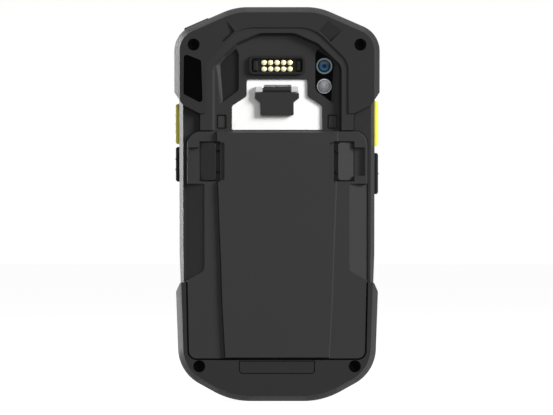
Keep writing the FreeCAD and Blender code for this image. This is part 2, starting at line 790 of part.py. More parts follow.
# Front housing, glass and display
front = core_solid.cut(block(-beyond, beyond, -beyond, split_y, -beyond, beyond))
front = front.cut(slab(inset(core_outline, wall), split_y, ledge_y))
front = joined([front] + [disc(x, z, boss_r - 0.1, split_y, ledge_y + 0.2) for x, z in screw_places()])
glass_outline = rectangle(-glass_half, glass_half, glass_low_z, glass_top_z, glass_round)
earpiece_half = 6.0
earpiece_z = glass_top_z - 4.0
front_camera_x = 14.0
front_camera_r = 2.2
fitting_back_y = display_back_y + 0.2
earpiece_block = block(-earpiece_half, earpiece_half, fitting_back_y, glass_y, earpiece_z - 1.6, earpiece_z + 1.6)
front_camera = disc(front_camera_x, earpiece_z, front_camera_r, fitting_back_y, glass_y)
front = cut(front, [
    slab(inset(glass_outline, -0.2), glass_y, beyond),
    block(-display_half - 0.2, display_half + 0.2, ledge_y - 1, glass_y + 1, display_low_z - 0.2, display_top_z + 0.2),
    earpiece_block, front_camera, dock_cut,
] + [disc(x, z, screw_r, split_y - 1, screw_end_y) for x, z in screw_places()])
save("front_housing", front)
earpiece_slot = block(-earpiece_half + 1.5, earpiece_half - 1.5, glass_y - 1, beyond, earpiece_z - 0.5, earpiece_z + 0.5)
save("touch_glass", slab(glass_outline, glass_y, glass_y + glass_thick).cut(earpiece_slot))
save("display_module", block(-display_half, display_half, display_back_y, glass_y, display_low_z, display_top_z))
save("earpiece", earpiece_block)
save("front_camera", front_camera)

# Chassis frame and electronics
frame_plate = slab(inset(core_outline, wall + 0.2), frame_back_y, display_back_y)
frame_plate = cut(frame_plate, [disc(x, z, boss_r + 0.3, -beyond, beyond) for x, z in screw_places()] + [dock_cut])
frame_boss_x = board_half - 4.0
bosses = [disc(x, z, 2.0, board_front_y, frame_back_y)
          for x in (-frame_boss_x, frame_boss_x)
          for z in (board_low_z + 6, (board_low_z + board_top_z) / 2, board_top_z - 7)]
save("chassis_frame", joined([frame_plate] + bosses))
board = joined([
    block(-board_half, board_half, board_back_y, board_front_y, board_low_z, board_top_z),
    block(-scan_engine_half - 1, scan_engine_half + 1, board_back_y, board_front_y, board_top_z, height - 5.5),
])
save("main_board", board)
can_y = well_y + well_wall + 1.0
can_half = board_half - 5.0
cans = [
    block(-can_half, can_half, can_y, board_back_y, board_low_z + 8, board_low_z + 40),
    block(-can_half, can_half, can_y, board_back_y, board_low_z + 46, cell_top_z - 5),
    block(-can_half, -4, can_y - 2.0, board_back_y, cell_top_z + 7, board_top_z - 5),
]
save("board_shields", Part.makeCompound(cans))
save("scan_engine", block(-scan_engine_half, scan_engine_half, scan_window_low_y - 1.7, board_back_y,
                          board_top_z + 3, height - 4.3))
save("scan_window", block(-scan_window_half, scan_window_half, scan_window_low_y, scan_window_high_y,
                          height - bumper_skin - wall, height - 0.8))
save("vibration_motor", disc(20, board_top_z - 23, 4.0, board_back_y - 3.0, board_back_y))
save("microphone", block(13, 17, board_back_y - 2.0, board_back_y, board_low_z + 0.5, board_low_z + 4.5))
save("loudspeaker", block(-13, 13, cavity_y, cavity_y + 6.0, 6.5, 18.5))
dock_body_low = 1.2
dock_body = block(-dock_half, dock_half, dock_low_y, dock_high_y, dock_body_low, bumper_skin + wall + 0.8)
save("dock_connector", dock_body)
dock_y = (dock_low_y + dock_high_y) / 2
pads = [Part.makeCylinder(0.8, 0.5, Vec(column * 2.2, dock_y, dock_body_low - 0.5), Vec(0, 0, 1))
        for column in range(-3, 4)]
save("dock_contacts", Part.makeCompound(pads))
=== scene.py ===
"""Dressed model of a rugged handheld data terminal that stands upright, its battery side to the camera.

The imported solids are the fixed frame. The classes below each dress one sub-assembly: they copy a node's
mesh and soften its edges as a mould does, or model a new piece from a primitive, and give it its finish.
Metres throughout; a name that ends in _mm is in millimetres.
"""
from __future__ import annotations

import json
import logging
import math
from collections.abc import Callable, Iterable, Iterator
from contextlib import contextmanager
from dataclasses import dataclass, replace
from enum import Enum

import bmesh
import bpy
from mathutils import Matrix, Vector

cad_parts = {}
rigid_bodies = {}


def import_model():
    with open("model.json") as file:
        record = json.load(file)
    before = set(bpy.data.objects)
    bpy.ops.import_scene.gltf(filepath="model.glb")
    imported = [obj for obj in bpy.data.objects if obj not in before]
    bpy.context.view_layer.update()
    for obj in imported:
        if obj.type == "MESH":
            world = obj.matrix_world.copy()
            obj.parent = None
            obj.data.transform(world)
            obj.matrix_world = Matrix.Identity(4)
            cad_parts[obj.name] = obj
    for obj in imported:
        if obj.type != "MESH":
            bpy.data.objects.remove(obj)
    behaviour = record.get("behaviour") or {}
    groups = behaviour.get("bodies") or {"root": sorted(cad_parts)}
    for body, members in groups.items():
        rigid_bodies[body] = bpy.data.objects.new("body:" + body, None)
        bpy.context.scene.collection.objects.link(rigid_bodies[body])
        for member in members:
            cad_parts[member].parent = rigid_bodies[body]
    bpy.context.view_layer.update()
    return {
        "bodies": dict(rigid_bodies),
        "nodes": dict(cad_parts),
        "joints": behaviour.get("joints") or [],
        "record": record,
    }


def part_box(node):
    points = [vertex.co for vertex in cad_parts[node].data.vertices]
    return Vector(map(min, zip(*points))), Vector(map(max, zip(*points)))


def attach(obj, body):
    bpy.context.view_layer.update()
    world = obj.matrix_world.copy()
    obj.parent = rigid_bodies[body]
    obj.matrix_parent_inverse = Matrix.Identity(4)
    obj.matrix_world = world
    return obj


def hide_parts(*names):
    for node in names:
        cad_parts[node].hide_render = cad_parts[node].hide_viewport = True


MM = 0.001
LOG = logging.getLogger("terminal")

# Two coordinates closer than this are one
TOUCH = 0.01 * MM
# A face looks along an axis when that part of its unit normal is longer than this
FACING = 0.9
LEAST_ROUGHNESS = 0.02
TURNED_STRETCH = 14.0
PATCH_DETAIL = 3.0
GRAIN_DETAIL = 2.0
ALONG_DEPTH = (math.pi / 2, 0.0, 0.0)
ACROSS = (0.0, math.pi / 2, 0.0)
Piece = bpy.types.Object
Triple = tuple[float, float, float]

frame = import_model()


class Surface(Enum):
    """How a surface was made, which sets its grain."""

    SPARKED = "spark-eroded mould texture"
    SATIN = "satin mould texture"
    POLISHED = "polished"
    TURNED = "turned or rolled metal"

    @property
    def stretch(self) -> float:
        """Return how many times finer the grain is upwards than across."""
        return TURNED_STRETCH if self is Surface.TURNED else 1.0


class Hand(Enum):
    """A side of the device, seen from behind; the value is its sign across."""

    LEFT = -1
    RIGHT = 1

    @property
    def word(self) -> str:
        """Return left or right."""
        return self.name.lower()


class Select(Enum):
    """What edit mode selects; the value is the name of that list in a mesh."""

    VERT = "verts"
    EDGE = "edges"
    FACE = "faces"


def span(node: str) -> tuple[Vector, Vector]:
    """Return the low and the high corner of a node's box."""
    low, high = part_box(node)
    return Vector(low), Vector(high)


def looks_back(centre: Vector, normal: Vector) -> bool:
    """Tell whether a face looks out of the back of the device."""
    return normal.y < -FACING


def both_at(a: Vector, b: Vector, across: float) -> bool:
    """Tell whether both ends of an edge are at one place across the device."""
    return abs(a.x - across) < TOUCH > abs(b.x - across)


def linear(hex_colour: str) -> tuple[float, ...]:
    """Turn an sRGB hex colour into a linear one, by the sRGB curve.

    Args:
        hex_colour: Six hexadecimal digits.

    Returns:
        Red, green, blue and an alpha of 1.
    """
    channels = []
    for start in (0, 2, 4):
        value = int(hex_colour[start:start + 2], 16) / 255
        channels.append(value / 12.92 if value <= 0.04045 else ((value + 0.055) / 1.055) ** 2.4)
    return channels[0], channels[1], channels[2], 1.0


def add_node(tree: bpy.types.NodeTree, kind: str, settings: dict | None = None,
             values: dict | None = None, links: dict | None = None) -> bpy.types.Node:
    """Add one shader node.

    Args:
        tree: The material's or world's node tree.
        kind: Type name of the node, without its first word.
        settings: Attributes of the node.
        values: Input values by socket name or index.
        links: Output sockets to join, by input name or index.

    Returns:
        The new node.
    """
    node = tree.nodes.new("ShaderNode" + kind)
    for key, value in (settings or {}).items():
        setattr(node, key, value)
    for key, value in (values or {}).items():
        node.inputs[key].default_value = value
    for key, socket in (links or {}).items():
        tree.links.new(socket, node.inputs[key])
    return node


@dataclass(frozen=True)
class Finish:
    """A moulded or metal finish whose colour, grain and gloss come from procedural noise.

    Attributes:
        name: What the surface is.
        colour: sRGB hex colour of the bare material.
        surface: How it was made.
        roughness: Middle value of the roughness.
        swing: How far the roughness varies either way.
        metallic: 1 for bare metal.
        grain_mm: Spacing of the grain, a little coarser than the real one where that is too fine to show.
        relief_mm: Height of the grain.
        relief: Strength of the relief.
        mottle_mm: Size of the soft patches in which colour and gloss vary.
        mottle: How much lighter and darker those patches are.
        coat: Strength of a clear coat.
        specular: Specular level of a plastic.
    """

    name: str
    colour: str
    surface: Surface = Surface.SATIN
    roughness: float = 0.5
    swing: float = 0.06
    metallic: float = 0.0
    grain_mm: float = 0.5
    relief_mm: float = 0.02
    relief: float = 0.5
    mottle_mm: float = 9.0
    mottle: float = 0.06
    coat: float = 0.0
    specular: float = 0.5

    def material(self) -> bpy.types.Material:
        """Build the material, once, and share it.

        Returns:
            The material.
        """
        made = bpy.data.materials.get(self.name)
        if made is not None:
            return made
        made = bpy.data.materials.new(self.name)
        made.use_nodes = True
        tree = made.node_tree
        tree.nodes.clear()
        place = add_node(tree, "TexCoord").outputs["Object"]
        self.shade(tree, place)
        return made

    def shade(self, tree: bpy.types.NodeTree, place: bpy.types.NodeSocket) -> bpy.types.Node:
        """Build the shader.

        Args:
            tree: The material's node tree.
            place: Object coordinates.

        Returns:
            The Principled node.
        """
        placed = add_node(tree, "Mapping", values={"Scale": (1.0, 1.0, self.surface.stretch)},
                          links={"Vector": place})
        patches = add_node(tree, "TexNoise",
                           values={"Scale": 1 / (self.mottle_mm * MM), "Detail": PATCH_DETAIL},
                           links={"Vector": place})
        grain = add_node(tree, "TexNoise",
                         values={"Scale": 1 / (self.grain_mm * MM), "Detail": GRAIN_DETAIL},
                         links={"Vector": placed.outputs["Vector"]})
        bare = linear(self.colour)[:3]
        low = tuple(channel * (1 - self.mottle) for channel in bare) + (1.0,)
        high = tuple(min(1.0, channel * (1 + self.mottle)) for channel in bare) + (1.0,)
        # A Mix node takes its two colours at inputs 6 and 7 and gives the mixed one at output 2
        colour = add_node(tree, "Mix", settings={"data_type": "RGBA"}, values={6: low, 7: high},
                          links={0: patches.outputs["Fac"]})
        least = max(LEAST_ROUGHNESS, self.roughness - self.swing)
        gloss = add_node(tree, "MapRange", values={"To Min": least, "To Max": self.roughness + self.swing},
                         links={"Value": grain.outputs["Fac"]})
        bump = add_node(tree, "Bump", values={"Strength": self.relief, "Distance": self.relief_mm * MM},
                        links={"Height": grain.outputs["Fac"]})
        body = add_node(tree, "BsdfPrincipled", values={"Metallic": self.metallic, "Coat Weight": self.coat},
                        links={"Base Color": colour.outputs[2], "Roughness": gloss.outputs["Result"],
                               "Normal": bump.outputs["Normal"]})
        if self.metallic == 0.0:
            body.inputs["Specular IOR Level"].default_value = self.specular
        add_node(tree, "OutputMaterial", links={"Surface": body.outputs["BSDF"]})
        return body


@dataclass(frozen=True)
class RingedGlass(Finish):
    """Round window whose colour changes ring by ring round its axis; some rings are painted reflection and
    painted highlight.

    Attributes:
        centre: Middle of the window.
        radius: Radius of the outer band.
        bands: Share of the radius and sRGB hex colour of each band, from the middle outwards, painted
            reflection and painted highlight among them.
        painted_glints: How much painted glints on the fine facets lighten and darken the bands.
    """

    centre: Triple = (0.0, 0.0, 0.0)
    radius: float = 1.0
    bands: tuple[tuple[float, str], ...] = ()
    painted_glints: float = 0.0

    def shade(self, tree: bpy.types.NodeTree, place: bpy.types.NodeSocket) -> bpy.types.Node:
        """Build the shader with rings of colour round the axis, which include painted reflection and painted
        highlight.

        Args:
            tree: The material's node tree.
            place: Object coordinates.

        Returns:
            The Principled node.
        """
        body = super().shade(tree, place)
        start = (-self.centre[0] / self.radius, 0.0, -self.centre[2] / self.radius)
        scale = (1 / self.radius, 0.0, 1 / self.radius)
        centred = add_node(tree, "Mapping", values={"Location": start, "Scale": scale},
                           links={"Vector": place})
        distance = add_node(tree, "VectorMath", settings={"operation": "LENGTH"},
                            links={0: centred.outputs["Vector"]})
        ramp = add_node(tree, "ValToRGB", links={"Fac": distance.outputs["Value"]})
        stops = ramp.color_ramp.elements
        while len(stops) < len(self.bands):
            stops.new(0.5)
        for stop, (position, colour) in zip(stops, self.bands):
            stop.position = position
            stop.color = linear(colour)
        # Painted glints: cell noise lightens and darkens the rings as light catching the facets would
        facets = add_node(tree, "TexVoronoi", values={"Scale": 1 / (self.grain_mm * MM)},
                          links={"Vector": place})
        shade = add_node(tree, "MapRange", values={"To Min": 1 - self.painted_glints, "To Max": 1 + self.painted_glints},
                         links={"Value": facets.outputs["Color"]})
        banded = add_node(tree, "VectorMath", settings={"operation": "SCALE"},
                          links={0: ramp.outputs["Color"], "Scale": shade.outputs["Result"]})
        tree.links.new(banded.outputs["Vector"], body.inputs["Base Color"])
        return body


# Blend of polycarbonate and ABS, spark-textured in the mould: a dull charcoal with a soft sheen
HOUSING = Finish("moulded_charcoal_abs", "2c2c2d", Surface.SPARKED, grain_mm=0.7, relief_mm=0.03,
                 specular=0.12)
# Moulded thermoplastic elastomer over the housing: a little darker and less glossy
BUMPER = Finish("elastomer_bumper", "2b2b2c", Surface.SPARKED, roughness=0.56, grain_mm=0.8, relief_mm=0.03,
                specular=0.1)
# The same elastomer on the side pads, with a coarser and duller grain
GRIP = Finish("elastomer_grip", "2a2a2b", roughness=0.58, grain_mm=0.9, relief_mm=0.04, specular=0.1)
# Panel in the left pocket: the same plastic, made darker as painted shade of the recess
POCKET = Finish("ribbed_pocket_panel", "1b1b1c", Surface.SPARKED, roughness=0.55, grain_mm=0.6,
                relief_mm=0.04, specular=0.1)
# Battery cover, satin polycarbonate: smooth and slightly lighter
BATTERY = Finish("satin_polycarbonate", "2f2f30", roughness=0.45, grain_mm=0.6, relief_mm=0.015,
                 mottle_mm=22.0, mottle=0.05, specular=0.14)
# Acetal latch slides, with soft patches of wear
LATCH = Finish("acetal_latch", "303031", roughness=0.42, grain_mm=0.6, mottle=0.1, specular=0.15)
# Moulded silicone key caps: bright yellow with a soft sheen
KEY_YELLOW = Finish("yellow_silicone_key", "e6e046", roughness=0.45, mottle=0.04)
# The same silicone in black: nearly no colour, a broad dull highlight
KEY_BLACK = Finish("black_silicone_key", "0f0f10", specular=0.12)
# Moulded gloss ABS of the strap anchor: clean white with a clear highlight
ANCHOR = Finish("white_gloss_abs", "fbfbfa", Surface.POLISHED, roughness=0.3, mottle=0.01, relief_mm=0.004)
# Polished acrylic window: deep black with small sharp highlights
WINDOW = Finish("black_acrylic", "010101", Surface.POLISHED, roughness=0.12, mottle=0.2, relief_mm=0.001,
                specular=0.03)
# Rolled stainless steel of the hinge: bright, with highlights drawn out across it
STEEL = Finish("stainless_steel", "b9b9ba", Surface.TURNED, roughness=0.3, metallic=1.0, grain_mm=0.4,
               mottle=0.08)
# Turned steel bezel round the camera: blue-grey, with fine turning marks
BEZEL = Finish("turned_steel_bezel", "56656c", Surface.TURNED, roughness=0.3, metallic=1.0, grain_mm=0.4)
# Black-oxide steel of the screws and latch springs, near black and not metallic: partly the oxide's own dull
# black skin, partly painted shade of the deep screw recesses and round the latches
SCREW = Finish("black_oxide_steel", "040404", Surface.TURNED, roughness=0.6, grain_mm=0.4, specular=0.03)
# Hard gold over nickel: pale yellow, soft highlights
GOLD = Finish("hard_gold_plating", "fff3c4", Surface.TURNED, roughness=0.4, metallic=0.3, grain_mm=0.3)
# Moulded liquid-crystal polymer of connectors and modules: even black, slightly glossy
MODULE = Finish("black_connector_polymer", "1d1d1c", roughness=0.45, grain_mm=0.4, specular=0.12)
# Phosphor of the flash's light source: a dull pale yellow
PHOSPHOR = Finish("flash_phosphor", "e9e2a4", grain_mm=0.3)
# Polished toughened glass over a dark screen: near black, mirror smooth
SCREEN = Finish("toughened_glass", "08080a", Surface.POLISHED, roughness=0.06, mottle=0.1, relief_mm=0.0005,
                coat=0.2, specular=0.2)
# Solder mask over glass-epoxy laminate: green, with a clear gloss
BOARD = Finish("green_solder_mask", "1d5a33", Surface.POLISHED, roughness=0.35, grain_mm=1.1, mottle=0.12)
# Rolled and tinned steel of shield cans and motor: light grey metal with soft streaks
SHIELD = Finish("tinned_steel", "b4b6b8", Surface.TURNED, roughness=0.35, metallic=1.0)
# Die-cast magnesium chassis: mid-grey metal with a coarse dull grain
CHASSIS = Finish("cast_magnesium", "8f9193", Surface.SPARKED, roughness=0.45, metallic=0.8, grain_mm=0.8)
# Heat-shrunk wrap of the pouch cells: smooth grey film with slack ripples
CELLS = Finish("cell_wrap", "8d9093", roughness=0.35, grain_mm=2.0, relief_mm=0.05, mottle=0.08)
# Moulded silicone seals: dark and quite dull
SEAL = Finish("silicone_seal", "2a2a2b", roughness=0.6)

# Multi-coated glass over a black barrel: a dark eye, with the blue reflection of its coating painted into its
# colour as rings
LENS = RingedGlass("coated_optical_glass", "05070a", Surface.POLISHED, roughness=0.08, relief_mm=0.0005,
                   coat=0.1, specular=0.12,
                   bands=((0.0, "05070a"), (0.3, "0c1119"), (0.42, "2a6596"), (0.62, "1c5480"),
                          (0.8, "0d141c"), (1.0, "040506")))
# Faceted polycarbonate over a reflector: grey, with a painted highlight ring at its moulded rim and painted
# glints on its facets
FLASH = RingedGlass("faceted_polycarbonate", "6a6b6f", Surface.POLISHED, roughness=0.2, grain_mm=0.55,
                    relief_mm=0.1, coat=0.3, specular=0.3, painted_glints=0.4,
                    bands=((0.0, "8d8e92"), (0.45, "77787c"), (0.8, "5c5d61"), (0.86, "3a3b3e"),
                           (0.92, "b9bbc0"), (1.0, "8b8d92")))


class Bench:
    """The modelling bench: selects, edits and finishes one object at a time."""

    @staticmethod
    def clear() -> None:
        """Leave nothing selected."""
        if bpy.context.mode != "OBJECT":
            bpy.ops.object.mode_set(mode="OBJECT")
        bpy.ops.object.select_all(action="DESELECT")

    @staticmethod
    def pick(piece: Piece) -> None:
        """Select one piece alone.

        Args:
            piece: The piece.
        """
        Bench.clear()
        piece.select_set(True)
        bpy.context.view_layer.objects.active = piece

    @staticmethod
    @contextmanager
    def editing(piece: Piece, mode: Select = Select.FACE) -> Iterator[None]:
        """Hold a piece in edit mode.

        Args:
            piece: The piece to edit.
            mode: What is selected in it.
        """
        Bench.pick(piece)
        bpy.ops.object.mode_set(mode="EDIT")
        bpy.ops.mesh.select_mode(type=mode.name)
        try:
            yield
        finally:
            bpy.ops.object.mode_set(mode="OBJECT")

    @staticmethod
    def choose(mode: Select, test: Callable[[bmesh.types.BMFace | bmesh.types.BMEdge], bool]) -> None:
        """Select the parts of the edited mesh that pass a test.

        Args:
            mode: Which parts.
            test: Takes one part and tells whether to select it.
        """
        mesh = bpy.context.edit_object.data
        shape = bmesh.from_edit_mesh(mesh)
        for part in getattr(shape, mode.value):
            part.select_set(False)
        for part in getattr(shape, mode.value):
            if test(part):
                part.select_set(True)
        bmesh.update_edit_mesh(mesh)

    @staticmethod
    def choose_faces(test: Callable[[Vector, Vector], bool]) -> None:
        """Select the faces whose centre and normal pass a test."""
        Bench.choose(Select.FACE, lambda face: test(face.calc_center_median(), face.normal))

    @staticmethod
    def choose_edges(test: Callable[[Vector, Vector], bool]) -> None:
        """Select the edges whose two ends pass a test."""
        Bench.choose(Select.EDGE, lambda edge: test(edge.verts[0].co, edge.verts[1].co))

    @staticmethod
    def apply_all(piece: Piece) -> None:
        """Apply every modifier of a piece.

        Args:
            piece: The piece.
        """
        Bench.pick(piece)
        for modifier in list(piece.modifiers):
            bpy.ops.object.modifier_apply(modifier=modifier.name)

    @staticmethod
    def bevel(piece: Piece, width: float, segments: int = 2, angle: float = 30.0) -> None:
        """Round the sharp edges of a piece.

        Args:
            piece: The piece.
            width: Width of the rounding.
            segments: Faces across it.
            angle: Edges sharper than this many degrees are rounded.
        """
        rounding = piece.modifiers.new("rounding", "BEVEL")
        rounding.width = width
        rounding.segments = segments
        rounding.angle_limit = math.radians(angle)
        Bench.apply_all(piece)
        Bench.smooth(piece)
        Bench.keep_flats(piece)

    @staticmethod
    def keep_flats(piece: Piece) -> None:
        """Shade flat faces flat, so that only the rounding between them catches the light.

        Args:
            piece: The piece.
        """
        flats = piece.modifiers.new("flats", "WEIGHTED_NORMAL")
        flats.keep_sharp = True
        Bench.apply_all(piece)

    @staticmethod
    def smooth(piece: Piece, angle: float = 32.0) -> None:
        """Shade a piece smooth across its gentle edges."""
        Bench.pick(piece)
        bpy.ops.object.shade_smooth_by_angle(angle=math.radians(angle))

    @staticmethod
    def settle(piece: Piece) -> None:
        """Put a piece's place, turn and size into its mesh."""
        Bench.pick(piece)
        bpy.ops.object.transform_apply(location=True, rotation=True, scale=True)


class Dresser:
    """Gives pieces their finish, their body and the nodes that they stand for."""

    join_mm: float = 0.002
    flat_degrees: float = 0.3

    def __init__(self, frame: dict) -> None:
        """Keep the nodes, their material slots and which body carries each.

        Args:
            frame: The loaded frame.
        """
        self.nodes: dict[str, Piece] = frame["nodes"]
        self.slots = {part["node"]: part["material_slot"] for part in frame["record"]["subparts"]}
        bodies = frame["record"]["behaviour"]["bodies"]
        self.carrier = {node: body for body, members in bodies.items() for node in members}

    def finish_node(self, node: str, finish: Finish) -> None:
        """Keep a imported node's shape and give it its finish.

        Args:
            node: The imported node.
            finish: Its finish.
        """
        shown = self.nodes[node]
        if not shown.material_slots:
            shown.data.materials.append(finish.material())
        for slot in shown.material_slots:
            slot.material = finish.material()
        LOG.info("kept node %s with %s", node, finish.name)

    def fit(self, piece: Piece, finish: Finish, node: str, body: str = "", slot: str = "") -> None:
        """Mount a new piece in place of a node.

        Args:
            piece: The finished piece.
            finish: Its finish.
            node: The node that it stands for, or that it sits on when body is given.
            body: The body to ride on, when the piece only adds to the node.
            slot: Not used; meant as the material slot, when it isn't the node's own.
        """
        piece.data.materials.clear()
        piece.data.materials.append(finish.material())
        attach(piece, body or self.carrier[node])
        if not body:
            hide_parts(node)
        LOG.info("fitted %s with %d faces", piece.name, len(piece.data.polygons))

    def stand_in(self, node: str, name: str, finish: Finish, width_mm: float) -> None:
        """Mount a softened copy of a node in its place.

        Args:
            node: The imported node.
            name: Name of the new piece.
            finish: Its finish.
            width_mm: Width of the rounding.
        """
        self.fit(self.softened(node, name, width_mm), finish, node)

    def softened(self, node: str, name: str, width_mm: float) -> Piece:
        """Copy a node, join its loose triangles and round its edges as a mould leaves them.

        Args:
            node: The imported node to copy.
            name: Name of the new piece.
            width_mm: Width of the rounding, or 0 to leave the edges for later.

        Returns:
            The new piece, still without a finish.
        """
        Bench.pick(self.nodes[node])
        bpy.ops.object.duplicate()
        piece = bpy.context.view_layer.objects.active
        piece.name = name
        with Bench.editing(piece, Select.VERT):
            bpy.ops.mesh.select_all(action="SELECT")
            bpy.ops.mesh.remove_doubles(threshold=self.join_mm * MM)
            bpy.ops.mesh.dissolve_limited(angle_limit=math.radians(self.flat_degrees))
        if width_mm > 0.0:
            Bench.bevel(piece, width_mm * MM)
        return piece

    def dress_rest(self, finishes: dict[str, Finish]) -> None:
        """Give the finish of its material slot to every node that still shows.

        Args:
            finishes: Finish by material slot.
        """
        for node in sorted(self.nodes):
            if not self.nodes[node].hide_render:
                self.finish_node(node, finishes[self.slots[node]])


class Shaper:
    """Models round and blocky pieces from primitives, with edit-mode operators."""

    @staticmethod
    def cylinder(name: str, centre: Vector, radius: float, depth: float, sides: int = 48,
                 turn: Triple = ALONG_DEPTH) -> Piece:
        """Start a round piece, with its place in its mesh.

        Args:
            name: Name of the piece.
            centre: Its middle.
            radius: Its radius.
            depth: Its length.
            sides: Faces round it.
            turn: Rotation that lays its axis along the depth or across the device.

        Returns:
            The piece.
        """
        Bench.clear()
        bpy.ops.mesh.primitive_cylinder_add(vertices=sides, radius=radius, depth=depth, location=centre,
                                            rotation=turn)
        return Shaper.started(name)

    @staticmethod
    def block(name: str, one: Iterable[float], other: Iterable[float]) -> Piece:
        """Start a blocky piece, with its place in its mesh.

        Args:
            name: Name of the piece.
            one: One corner.
            other: The opposite corner.

        Returns:
            The piece.
        """
        low = Vector([min(pair) for pair in zip(one, other)])
        high = Vector([max(pair) for pair in zip(one, other)])
        Bench.clear()
        bpy.ops.mesh.primitive_cube_add(size=1.0, location=(low + high) / 2, scale=high - low)
        return Shaper.started(name)

    @staticmethod
    def started(name: str) -> Piece:
        """Name the primitive that was just added and put its place into its mesh.

        Args:
            name: Name of the piece.

        Returns:
            The piece.
        """
        piece = bpy.context.view_layer.objects.active
        piece.name = name
        Bench.settle(piece)
        return piece

    @staticmethod
    def crown(piece: Piece, radius: float, rise: float, rings: int = 6) -> None:
        """Turn the face towards -Y into a shallow dome, ring by ring.

        Args:
            piece: A round piece.
            radius: Its radius.
            rise: How far the dome stands out at its middle.
            rings: Steps from the rim to the middle.
        """
        step = 1 / (rings + 0.5)
        with Bench.editing(piece):
            Bench.choose_faces(looks_back)
            for ring in range(rings):
                outer, inner = 1 - ring * step, 1 - (ring + 1) * step
                bpy.ops.mesh.inset(thickness=radius * step)
                bpy.ops.transform.translate(value=(0.0, -rise * (outer ** 2 - inner ** 2), 0.0))

    @staticmethod
    def twin(piece: Piece, shift: Vector) -> Piece:
        """Copy a piece with its own mesh and move the copy.

        Args:
            piece: The piece.
            shift: How far the copy moves.

        Returns:
            The copy.
        """
        Bench.pick(piece)
        bpy.ops.object.duplicate()
        copy = bpy.context.view_layer.objects.active
        with Bench.editing(copy):
            bpy.ops.mesh.select_all(action="SELECT")
            bpy.ops.transform.translate(value=shift)
        return copy

    @staticmethod
    def joined(pieces: list[Piece], name: str) -> Piece:
        """Make one piece of several.

        Args:
            pieces: The pieces.
            name: Name of the whole.

        Returns:
            The whole.
        """
        Bench.pick(pieces[0])
        for piece in pieces[1:]:
            piece.select_set(True)
        bpy.ops.object.join()
        whole = bpy.context.view_layer.objects.active
        whole.name = name
        return whole


@dataclass
class MouldedShells:
    """Housings, bumpers, grip pads and the small covers, each with the edge that its mould leaves."""

    dresser: Dresser
    shell_edge_mm: float = 0.2
    bumper_edge_mm: float = 0.35
    cover_edge_mm: float = 0.2
    grip_sunk_mm: float = 0.9
    grip_face_mm: float = 0.1

    def build(self) -> None:
        """Copy, soften and dress every shell."""
        for node, name, finish, edge in (
            ("rear_housing", "rear_shell", HOUSING, self.shell_edge_mm),
            ("front_housing", "front_shell", HOUSING, self.shell_edge_mm),
            ("bumper_upper", "upper_bumper_skin", BUMPER, self.bumper_edge_mm),
            ("bumper_lower", "lower_bumper_skin", BUMPER, self.bumper_edge_mm),
            ("lower_strap_cover", "strap_cover", GRIP, self.cover_edge_mm),
            ("pocket_insert_left", "left_pocket_panel", POCKET, self.cover_edge_mm),
            ("side_window", "shoulder_window", WINDOW, self.cover_edge_mm),
            ("side_blocks", "pocket_blocks", LATCH, self.cover_edge_mm),
        ):
            self.dresser.stand_in(node, name, finish, edge)
        for hand in Hand:
            self.dresser.fit(self.grip(hand), GRIP, "grip_pad_" + hand.word)

    def grip(self, hand: Hand) -> Piece:
        """Copy one grip pad, press its face down until it is almost flush, and soften it.

        Args:
            hand: Its side.

        Returns:
            The piece.
        """
        node = "grip_pad_" + hand.word
        piece = self.dresser.softened(node, hand.word + "_grip", 0.0)
        face_y = span(node)[0].y + self.grip_face_mm * MM
        with Bench.editing(piece):
            Bench.choose_faces(lambda centre, normal: looks_back(centre, normal) and centre.y < face_y)
            bpy.ops.transform.translate(value=(0.0, self.grip_sunk_mm * MM, 0.0))
        Bench.bevel(piece, self.cover_edge_mm * MM)
        return piece


@dataclass
class CameraUnit:
    """Camera and flash in the right pocket."""

    dresser: Dresser
    lens_rise_mm: float = 0.25
    flash_rise_mm: float = 0.35
    edge_mm: float = 0.18
    smooth_degrees: float = 40.0

    def window(self, node: str, name: str, rise_mm: float, glass: RingedGlass) -> None:
        """Mount a domed disc in place of a round node, with rings of colour centred on it.

        Args:
            node: The round node that it stands for.
            name: Name of the piece.
            rise_mm: Height of the dome, which stays inside the node's depth.
            glass: Its finish, whose centre and radius are set here.
        """
        low, high = span(node)
        middle = (low + high) / 2
        radius = (high.x - low.x) / 2
        rise = rise_mm * MM
        piece = Shaper.cylinder(name, middle + Vector((0.0, rise / 2, 0.0)), radius, high.y - low.y - rise)
        Shaper.crown(piece, radius, rise)
        Bench.smooth(piece, self.smooth_degrees)
        self.dresser.fit(piece, replace(glass, centre=tuple(middle), radius=radius), node)

    def build(self) -> None:
        """Build the bezel, the coated lens, the flash window and their panel."""
        self.dresser.stand_in("camera_ring", "camera_bezel", BEZEL, self.edge_mm)
        self.dresser.stand_in("pocket_insert_right", "right_pocket_panel", WINDOW, self.edge_mm)
        self.window("camera_lens", "camera_eye", self.lens_rise_mm, LENS)
        self.window("flash_lens", "flash_window", self.flash_rise_mm, FLASH)


